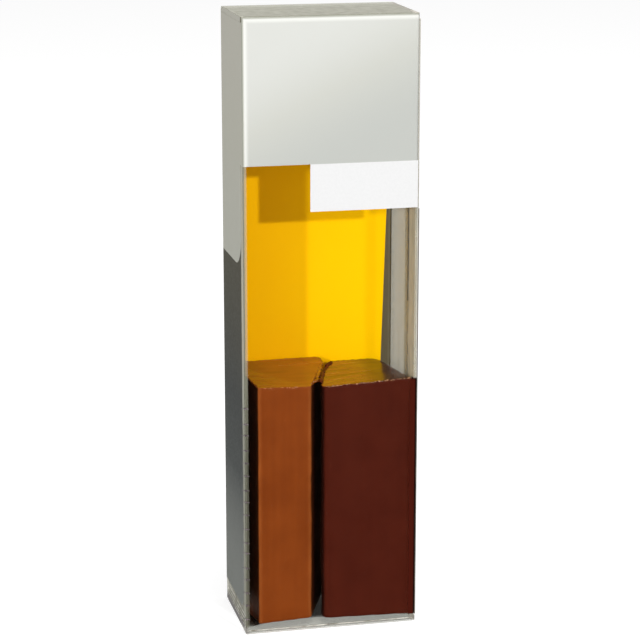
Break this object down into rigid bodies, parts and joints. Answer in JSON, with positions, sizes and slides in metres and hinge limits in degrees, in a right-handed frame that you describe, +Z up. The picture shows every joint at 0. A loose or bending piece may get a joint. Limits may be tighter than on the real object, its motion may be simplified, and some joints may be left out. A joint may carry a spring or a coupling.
{
  "type": "furniture repair wax stick pack",
  "caption": "Clear tuck-end folding box with a window, holding a light and a dark furniture repair wax stick and a yellow spatula, free-standing.",
  "frame": {"origin": "middle of the box's footprint, on the surface it stands on", "axes": "+Z up, -Y out of the front with the window, +X to the viewer's right, printed side at -X"},
  "size_m": [0.034, 0.0211, 0.12],
  "materials": {
    "clear_sheet": "clear extruded PET sheet, glossy",
    "clear_glue": "clear adhesive",
    "white_ink": "white printing ink, satin",
    "pale_ink": "pale grey printing ink, satin",
    "dark_ink": "dark grey printing ink, satin",
    "label": "white label stock, smooth",
    "light_wax": "cast light brown wax, satin",
    "dark_wax": "cast dark brown wax, satin",
    "yellow_plastic": "moulded yellow polystyrene, satin"
  },
  "bodies": {
    "sleeve": {"front_panel": "clear_sheet", "left_panel": "clear_sheet", "back_panel": "clear_sheet", "right_panel": "clear_sheet", "glue_flap": "clear_sheet", "glue_line": "clear_glue", "white_field": "white_ink", "left_pale_field": "pale_ink", "left_dark_field": "dark_ink", "back_pale_field": "pale_ink", "back_dark_field": "dark_ink", "colour_label": "label"},
    "top_lid": {"top_lid": "clear_sheet"},
    "top_tongue": {"top_tongue": "clear_sheet"},
    "top_left_flap": {"top_left_flap": "clear_sheet"},
    "top_right_flap": {"top_right_flap": "clear_sheet"},
    "bottom_lid": {"bottom_lid": "clear_sheet"},
    "bottom_tongue": {"bottom_tongue": "clear_sheet"},
    "bottom_left_flap": {"bottom_left_flap": "clear_sheet"},
    "bottom_right_flap": {"bottom_right_flap": "clear_sheet"},
    "light_wax_stick": {"light_wax_stick": "light_wax"},
    "dark_wax_stick": {"dark_wax_stick": "dark_wax"},
    "spatula": {"spatula": "yellow_plastic"}
  },
  "joints": [
    {"name": "top_lid_crease", "type": "hinge", "parent": "sleeve", "child": "top_lid", "pos_m": [0, 0.01035, 0.11985], "axis": [-1, 0, 0], "range_deg": [0, 115]},
    {"name": "top_tongue_crease", "type": "hinge", "parent": "top_lid", "child": "top_tongue", "pos_m": [0, -0.0099, 0.11985], "axis": [-1, 0, 0], "range_deg": [-34.5, 0]},
    {"name": "top_left_flap_crease", "type": "hinge", "parent": "sleeve", "child": "top_left_flap", "pos_m": [-0.01685, 0, 0.1192], "axis": [0, -1, 0], "range_deg": [0, 69]},
    {"name": "top_right_flap_crease", "type": "hinge", "parent": "sleeve", "child": "top_right_flap", "pos_m": [0.01685, 0, 0.1192], "axis": [0, 1, 0], "range_deg": [0, 69]},
    {"name": "bottom_lid_crease", "type": "hinge", "parent": "sleeve", "child": "bottom_lid", "pos_m": [0, -0.01035, 0.00015], "axis": [-1, 0, 0], "range_deg": [0, 115]},
    {"name": "bottom_tongue_crease", "type": "hinge", "parent": "bottom_lid", "child": "bottom_tongue", "pos_m": [0, 0.0099, 0.00015], "axis": [-1, 0, 0], "range_deg": [-34.5, 0]},
    {"name": "bottom_left_flap_crease", "type": "hinge", "parent": "sleeve", "child": "bottom_left_flap", "pos_m": [-0.01685, 0, 0.0008], "axis": [0, 1, 0], "range_deg": [0, 69]},
    {"name": "bottom_right_flap_crease", "type": "hinge", "parent": "sleeve", "child": "bottom_right_flap", "pos_m": [0.01685, 0, 0.0008], "axis": [0, -1, 0], "range_deg": [0, 69]},
    {"name": "light_stick_lift", "type": "slide", "parent": "sleeve", "child": "light_wax_stick", "axis": [0, 0, 1], "range_m": [0, 0.06]},
    {"name": "dark_stick_lift", "type": "slide", "parent": "sleeve", "child": "dark_wax_stick", "axis": [0, 0, 1], "range_m": [0, 0.06]},
    {"name": "spatula_lift", "type": "slide", "parent": "sleeve", "child": "spatula", "axis": [0, 0, 1], "range_m": [0, 0.015]}
  ],
  "couplings": [
    {"joint": "top_tongue_crease", "follows": "top_lid_crease", "ratio": -0.3},
    {"joint": "top_left_flap_crease", "follows": "top_lid_crease", "ratio": 0.6},
    {"joint": "top_right_flap_crease", "follows": "top_lid_crease", "ratio": 0.6},
    {"joint": "bottom_tongue_crease", "follows": "bottom_lid_crease", "ratio": -0.3},
    {"joint": "bottom_left_flap_crease", "follows": "bottom_lid_crease", "ratio": 0.6},
    {"joint": "bottom_right_flap_crease", "follows": "bottom_lid_crease", "ratio": 0.6}
  ]
}
